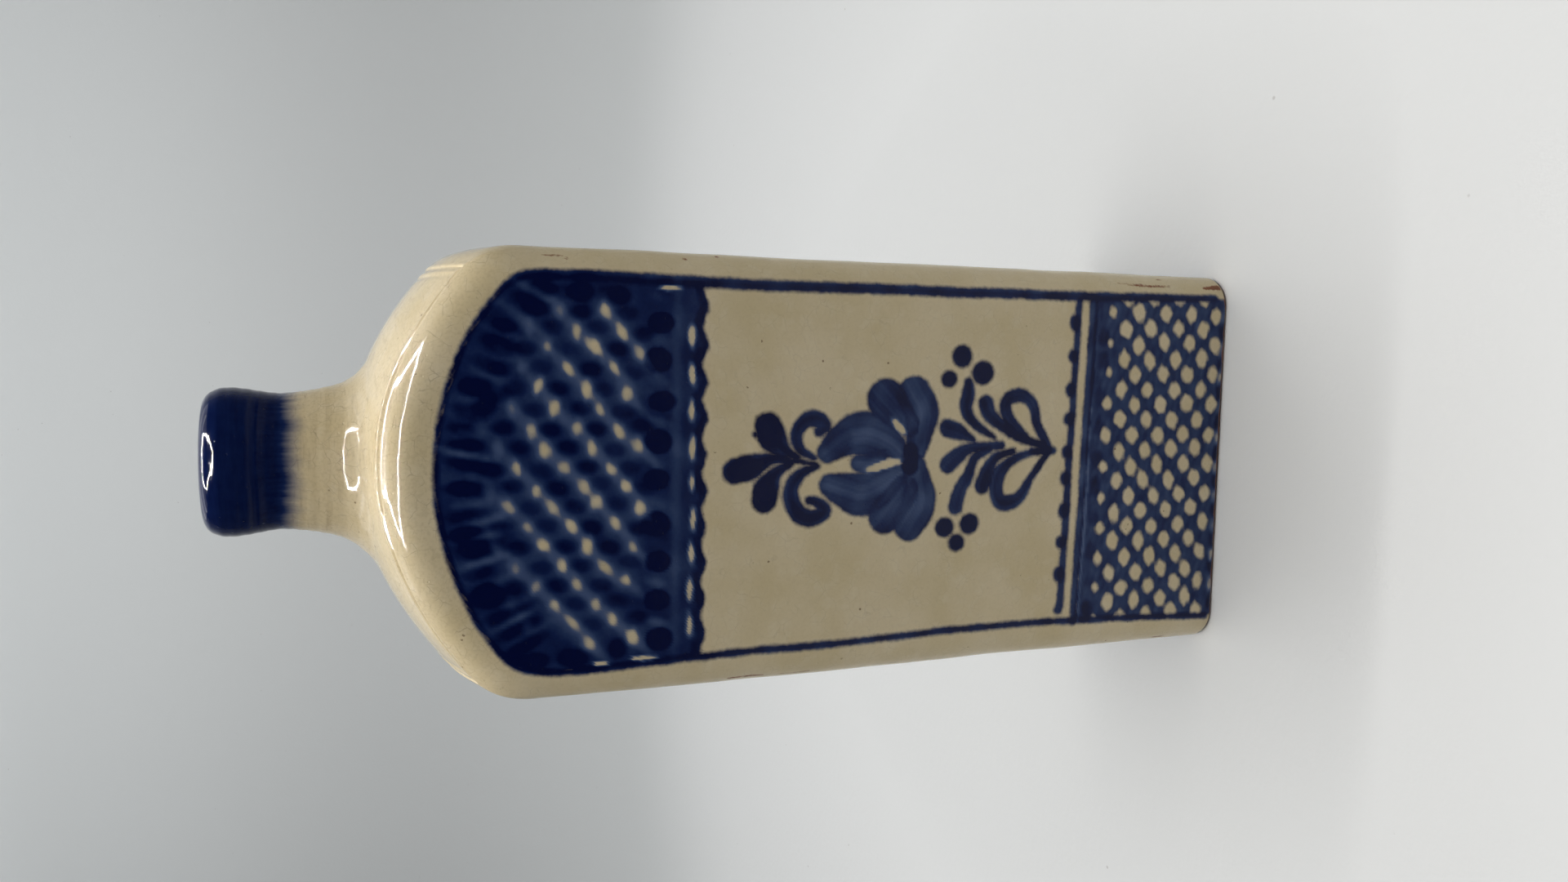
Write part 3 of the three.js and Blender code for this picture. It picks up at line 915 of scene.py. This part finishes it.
def make_piece(name, points, faces, normals, attributes, material):
    """An object from points in millimetres. The first points are the glazed outside: they carry
    the attributes, and the faces that lie wholly among them take the net's normals."""
    mesh = bpy.data.meshes.new(name)
    mesh.from_pydata((points * MM).tolist(), [], faces)
    mesh.materials.append(material)
    glazed = len(normals)
    for key, plain in (("paint_edge", -9.0), ("paint_tone", 0.6), ("clay_edge", -9.0)):
        values = np.full(len(points), plain, np.float32)
        if key in attributes:
            values[:glazed] = np.clip(attributes[key], -9, 9)
        mesh.attributes.new(key, "FLOAT", "POINT").data.foreach_set("value", values)
    corner_points = np.zeros(len(mesh.loops), np.int32)
    mesh.loops.foreach_get("vertex_index", corner_points)
    starts = np.zeros(len(mesh.polygons), np.int32)
    mesh.polygons.foreach_get("loop_start", starts)
    flat = np.zeros(len(mesh.polygons) * 3, np.float32)
    mesh.polygons.foreach_get("normal", flat)
    sizes = np.diff(np.append(starts, len(corner_points)))
    corner_normals = np.repeat(flat.reshape(-1, 3), sizes, axis=0)
    outside = np.repeat(np.logical_and.reduceat(corner_points < glazed, starts), sizes)
    corner_normals[outside] = normals[corner_points[outside]]
    mesh.polygons.foreach_set("use_smooth", np.ones(len(mesh.polygons), bool))
    mesh.normals_split_custom_set(corner_normals.tolist())
    return add_object(name, mesh)


def place_piece(piece, node):
    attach(piece, BODY)
    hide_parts(node)


def strips(index):
    """Faces between the rows of an array of point numbers."""
    return np.stack([index[:-1, :-1], index[:-1, 1:], index[1:, 1:], index[1:, :-1]],
                    -1).reshape(-1, 4).tolist()


def wall_piece(net, side, node, panel, material):
    """A wall: its patch of the net outside, a flat face inside, and closed edges."""
    columns = np.arange(net.seams[side], net.seams[side + 1] + 1) % net.seams[-1]
    outside = net.points[:net.rows["crease"] + 1][:, columns]
    rows, count = outside.shape[:2]
    x, y = net.edge[columns].T
    if side % 2 == 0:
        inside = x * INNER_X / HALF_WIDTH, np.sign(y) * INNER_Y
    else:
        inside = np.sign(x) * INNER_X, y * (INNER_Y - 0.6) / INNER_Y
    low = np.column_stack([*inside, np.zeros(count)])
    high = np.column_stack([*inside, outside[-1, :, 2] - SHOULDER_THICKNESS - 2])
    points = np.vstack([outside.reshape(-1, 3), high, low])
    index = np.arange((rows + 2) * count).reshape(-1, count)
    faces = strips(np.vstack([index, index[:1]]))
    faces += [index[:, 0].tolist(), index[::-1, -1].tolist()]
    across = net.distance[columns] - side * QUARTER
    across = (across + PERIMETER / 2) % PERIMETER - PERIMETER / 2
    paint = panel.paint(np.tile(across, rows), outside[..., 2].ravel())
    normals = net.normals[:rows][:, columns].reshape(-1, 3)
    piece = make_piece(node + "_glazed", points, faces, normals, paint, material)
    place_piece(piece, node)


def ring_piece(context, node, first, last, inside, every=2, finish="cream"):
    """A ring of clay: the net outside, from the row named first to the one named last, and
    rings of hidden points inside. every is how many columns it takes at a step."""
    shop = workshop(context)
    net, material = shop["net"], shop[finish]
    first, last = net.rows[first], net.rows[last]
    columns = np.arange(0, net.seams[-1], every)
    outside = net.points[first:last + 1][:, columns]
    hidden = [net.hidden_ring(columns, radius if np.ndim(radius) == 0 else radius[columns],
                              height if np.ndim(height) == 0 else height[columns])
              for radius, height in inside]
    points = np.vstack([outside.reshape(-1, 3), *hidden])
    index = np.arange(len(points)).reshape(-1, len(columns))
    index = np.vstack([index, index[:1]])
    faces = strips(np.column_stack([index, index[:, :1]]))
    normals = net.normals[first:last + 1][:, columns].reshape(-1, 3)
    piece = make_piece(node + "_glazed", points, faces, normals, {}, material)
    throw(piece, material, context.scene.talavera_sizes)
    place_piece(piece, node)


def base_piece(node, material):
    """The base, cut from a slab: its underside is wiped a little hollow."""
    across = np.linspace(BASE_LOW[0] + 0.2, BASE_HIGH[0] - 0.2, 60)
    along = np.linspace(BASE_LOW[1] + 0.2, BASE_HIGH[1] - 0.2, 40)
    x, y = np.meshgrid(across, along)
    rim = np.minimum((BASE_HIGH[0] - np.abs(x)) / 8, (BASE_HIGH[1] - np.abs(y)) / 8)
    hollow = 0.25 + 0.5 * smoothstep(rim, 0, 1) + waves(np.stack([x, y], -1), 25, 31) * 0.05
    under = np.stack([x, y, hollow], -1).reshape(-1, 3)
    over = np.stack([x, y, np.full(x.shape, BASE_HIGH[2] - 0.1)], -1).reshape(-1, 3)
    index = np.arange(len(under)).reshape(x.shape)
    faces = [face[::-1] for face in strips(index)] + strips(index + len(under))
    rims = [index[0], index[:, -1], index[-1, ::-1], index[::-1, 0]]
    for rim in rims:
        faces += strips(np.stack([rim, rim + len(under)]))
    piece = make_piece(node + "_wiped", np.vstack([under, over]), faces, np.zeros((0, 3)), {},
                       material)
    place_piece(piece, node)


# ---- settings ----

def length(name, description, millimetres, low, high):
    return bpy.props.FloatProperty(name=name, description=description, default=millimetres * MM,
                                   min=low * MM, max=high * MM, unit="LENGTH", precision=5)


def colour(name, description, value):
    return bpy.props.FloatVectorProperty(name=name, description=description, default=value,
                                         size=3, min=0.0, max=1.0, subtype="COLOR")


class TalaveraSizes(bpy.types.PropertyGroup):
    net_step: length("Net step", "Distance between the points of the surface", 0.55, 0.4, 3)
    crease_depth: length("Crease depth", "Depth of the tooled groove round the shoulder",
                         0.5, 0, 1.5)
    ring_depth: length("Ring depth", "Depth of the throwing lines on the neck", 0.035, 0, 0.5)
    ring_pitch: length("Ring pitch", "Distance between throwing lines", 2.6, 1, 8)
    unevenness: bpy.props.FloatProperty(
        name="Unevenness", description="How far the hand-made walls wander, in millimetres",
        default=0.28, min=0.0, max=1.0)


class TalaveraColours(bpy.types.PropertyGroup):
    glaze: colour("Glaze", "Cream tin glaze", (0.69, 0.582, 0.387))
    cobalt_thin: colour("Thin cobalt", "Cobalt at the very edge of a wash", (0.16, 0.2, 0.27))
    cobalt_wash: colour("Cobalt wash", "Watered cobalt", (0.06, 0.093, 0.2))
    cobalt_stroke: colour("Cobalt stroke", "Cobalt in an even stroke", (0.021, 0.042, 0.12))
    cobalt_deep: colour("Deep cobalt", "Cobalt in a full stroke", (0.006, 0.016, 0.078))
    cobalt_dark: colour("Dark cobalt", "Cobalt where it pooled", (0.001, 0.004, 0.04))
    clay: colour("Clay", "Fired red clay", (0.33, 0.12, 0.055))
    speck: colour("Specks", "Iron specks and crazing", (0.16, 0.09, 0.045))
    floor: colour("Floor", "Pale floor", (0.675, 0.685, 0.685))
    backdrop: colour("Backdrop", "Cool grey backdrop", (0.57, 0.585, 0.585))


WORKSHOP = {}


def workshop(context):
    """The net and the finishes, made once with the scene's settings."""
    if not WORKSHOP:
        sizes, colours = context.scene.talavera_sizes, context.scene.talavera_colours
        WORKSHOP["net"] = Net(sizes.net_step / MM, sizes.unevenness, sizes.crease_depth / MM)
        WORKSHOP["cream"] = glaze_finish("Cream glaze with cobalt brushwork", colours, False)
        WORKSHOP["cobalt"] = glaze_finish("Cobalt dip", colours, True)
        WORKSHOP["clay"] = clay_finish("Wiped red clay", colours)
    return WORKSHOP


# ---- operators ----

class MakeWalls(bpy.types.Operator):
    """Makes the four painted walls"""
    bl_idname = "talavera.make_walls"
    bl_label = "Painted walls"

    def execute(self, context):
        shop = workshop(context)
        narrow = {"spread": 0.6, "motif": 0.62, "drop": 15.0}
        for side, node, panel in (
            (0, "front_slab", Panel(1)), (1, "right_slab", Panel(2, **narrow)),
            (2, "back_slab", Panel(3, flip=True)), (3, "left_slab", Panel(4, **narrow)),
        ):
            wall_piece(shop["net"], side, node, panel, shop["cream"])
        return {"FINISHED"}


class MakeBase(bpy.types.Operator):
    """Makes the wiped base"""
    bl_idname = "talavera.make_base"
    bl_label = "Base"

    def execute(self, context):
        base_piece("base_slab", workshop(context)["clay"])
        return {"FINISHED"}


class MakeShoulder(bpy.types.Operator):
    """Makes the domed shoulder that closes the box of slabs"""
    bl_idname = "talavera.make_shoulder"
    bl_label = "Shoulder"

    def execute(self, context):
        net = workshop(context)["net"]
        crease = net.points[net.rows["crease"]]
        inside = [(BORE, NECK_JOINT), (BORE, NECK_JOINT - 11),
                  (np.linalg.norm(crease[:, :2], axis=1) * 0.9, crease[:, 2] - SHOULDER_THICKNESS)]
        ring_piece(context, "shoulder", "crease", "neck", inside, every=1)
        return {"FINISHED"}


class MakeNeck(bpy.types.Operator):
    """Makes the thrown neck"""
    bl_idname = "talavera.make_neck"
    bl_label = "Neck"

    def execute(self, context):
        ring_piece(context, "neck", "neck", "lip", [(BORE, LIP_JOINT), (BORE, NECK_JOINT)])
        return {"FINISHED"}


class MakeLip(bpy.types.Operator):
    """Makes the rolled lip in its cobalt dip"""
    bl_idname = "talavera.make_lip"
    bl_label = "Lip"

    def execute(self, context):
        ring_piece(context, "lip", "lip", "mouth", [(BORE, LIP_JOINT)],
                   finish="cobalt")
        return {"FINISHED"}


class SetStage(bpy.types.Operator):
    """Sets the floor, the backdrop, the lights and the camera"""
    bl_idname = "talavera.set_stage"
    bl_label = "Stage"

    def execute(self, context):
        self.sweep(context)
        self.lights(context)
        self.camera(context)
        return {"FINISHED"}

    def sweep(self, context):
        """One sheet: a flat floor that curves up into a backdrop."""
        turn = np.linspace(0, math.pi / 2, 24)
        depth = np.concatenate([[-1.6, -0.4, 0.3], 0.55 + 0.5 * np.sin(turn), [1.05]])
        rise = np.concatenate([[0, 0, 0], 0.5 * (1 - np.cos(turn)), [1.9]])
        across = np.linspace(-2.2, 2.2, 12)
        x, y = np.meshgrid(across, depth)
        z = np.repeat(rise[:, None], len(across), 1)
        points = np.stack([x, y, z], -1).reshape(-1, 3)
        mesh = bpy.data.meshes.new("floor_sweep")
        mesh.from_pydata(points.tolist(), [], strips(np.arange(len(points)).reshape(x.shape)))
        mesh.polygons.foreach_set("use_smooth", np.ones(len(mesh.polygons), bool))
        mesh.materials.append(stage_finish_with_painted_shade_and_light("Pale floor", context.scene.talavera_colours))
        add_object("floor_sweep", mesh)

    def lamp(self, name, place, aim, size, power):
        """A flat lamp of this size in metres, pointing at aim."""
        light = bpy.data.lights.new(name, "AREA")
        light.shape, light.size, light.size_y = "RECTANGLE", size[0], size[1]
        light.energy = power
        lamp = add_object(name, light)
        lamp.location = place
        lamp.rotation_euler = (Vector(aim) - Vector(place)).to_track_quat("-Z", "Y").to_euler()

    def lights(self, context):
        """A soft overhead light behind, and a six-sided ring of small lamps over the front."""
        self.lamp("overhead_softbox", (0.05, 0.4, 1.1), (0, 0.1, 0), (1.6, 1.0), 5.5)
        self.lamp("backdrop_lamp", (0, 0.5, 1.3), (0, 1.05, 0.6), (1.8, 0.3), 4.0)
        self.ring("ring_lamp", 0.7, 0.005, 150.0)
        glint = self.ring("ring_glint", 0.698, 0.0036, 2200.0)
        glint.visible_diffuse = glint.visible_shadow = False
        world = bpy.data.worlds.new("Studio")
        context.scene.world = world
        world.use_nodes = True
        backing = world.node_tree.nodes["Background"].inputs
        backing[0].default_value, backing[1].default_value = (0.8, 0.9, 1, 1), 0.06
        context.scene.view_settings.view_transform = "Standard"

    def ring(self, name, height, half, strength):
        """Rows of small square lamps along the six sides of a ring. half is half a lamp's width."""
        centre, radius, count = np.array([0.03, -0.15, height]), 0.28, 14
        turns = np.arange(6) * math.pi / 3
        ends = [centre + radius * np.array([math.cos(turn), math.sin(turn), 0]) for turn in turns]
        points, faces = [], []
        for start, end in zip(ends, ends[1:] + ends[:1]):
            ahead = (end - start) / np.linalg.norm(end - start)
            aside = np.array([-ahead[1], ahead[0], 0])
            for share in (np.arange(count) + 0.5) / count:
                middle = start + (end - start) * share
                faces.append([len(points) + corner for corner in range(4)])
                points += [tuple(middle + half * (a * ahead + b * aside))
                           for a, b in ((-1, -1), (-1, 1), (1, 1), (1, -1))]
        mesh = bpy.data.meshes.new(name)
        mesh.from_pydata(points, [], faces)
        glow = bpy.data.materials.new(name + "_glow")
        glow.use_nodes = True
        graph = Graph(glow.node_tree)
        graph.tree.nodes.clear()
        emission = graph.node("ShaderNodeEmission", None,
                              {"Color": (1, 0.98, 0.95, 1), "Strength": strength})
        graph.node("ShaderNodeOutputMaterial", None, {"Surface": emission.outputs[0]})
        mesh.materials.append(glow)
        ring = add_object(name, mesh)
        return ring

    def camera(self, context):
        """Looks down at the front, a little from the right, turned on its side."""
        lens = bpy.data.cameras.new("camera")
        lens.lens, lens.sensor_width, lens.clip_start = 26.3, 36.0, 0.01
        camera = add_object("camera", lens)
        turn, dip, tilt = 0.0939, 0.385, -0.017
        right = Vector((math.cos(turn), math.sin(turn), 0))
        ahead = Vector((-math.sin(turn) * math.cos(dip), math.cos(turn) * math.cos(dip),
                        -math.sin(dip)))
        up = right.cross(ahead)
        across = math.cos(tilt) * right + math.sin(tilt) * up
        upward = math.cos(tilt) * up - math.sin(tilt) * right
        pose = Matrix((-upward, across, -ahead)).transposed().to_4x4()
        pose.translation = (0.0305, -0.2777, 0.2278)
        camera.matrix_world = pose
        context.scene.camera = camera


class TalaveraPanel(bpy.types.Panel):
    """The vase's pieces and their settings"""
    bl_idname = "VIEW3D_PT_talavera"
    bl_label = "Talavera bottle vase"
    bl_space_type = "VIEW_3D"
    bl_region_type = "UI"
    bl_category = "Talavera"

    def draw(self, context):
        for group in (context.scene.talavera_sizes, context.scene.talavera_colours):
            for key in group.__annotations__:
                self.layout.prop(group, key)
        for operator in OPERATORS:
            self.layout.operator(operator.bl_idname)


OPERATORS = (MakeWalls, MakeBase, MakeShoulder, MakeNeck, MakeLip, SetStage)
CLASSES = (TalaveraSizes, TalaveraColours, *OPERATORS, TalaveraPanel)


def register():
    for cls in CLASSES:
        bpy.utils.register_class(cls)
    bpy.types.Scene.talavera_sizes = bpy.props.PointerProperty(type=TalaveraSizes)
    bpy.types.Scene.talavera_colours = bpy.props.PointerProperty(type=TalaveraColours)


def unregister():
    del bpy.types.Scene.talavera_colours
    del bpy.types.Scene.talavera_sizes
    for cls in reversed(CLASSES):
        bpy.utils.unregister_class(cls)


def main():
    register()
    bpy.ops.talavera.make_walls()
    bpy.ops.talavera.make_base()
    bpy.ops.talavera.make_shoulder()
    bpy.ops.talavera.make_neck()
    bpy.ops.talavera.make_lip()
    bpy.ops.talavera.set_stage()


if __name__ == "__main__":
    main()
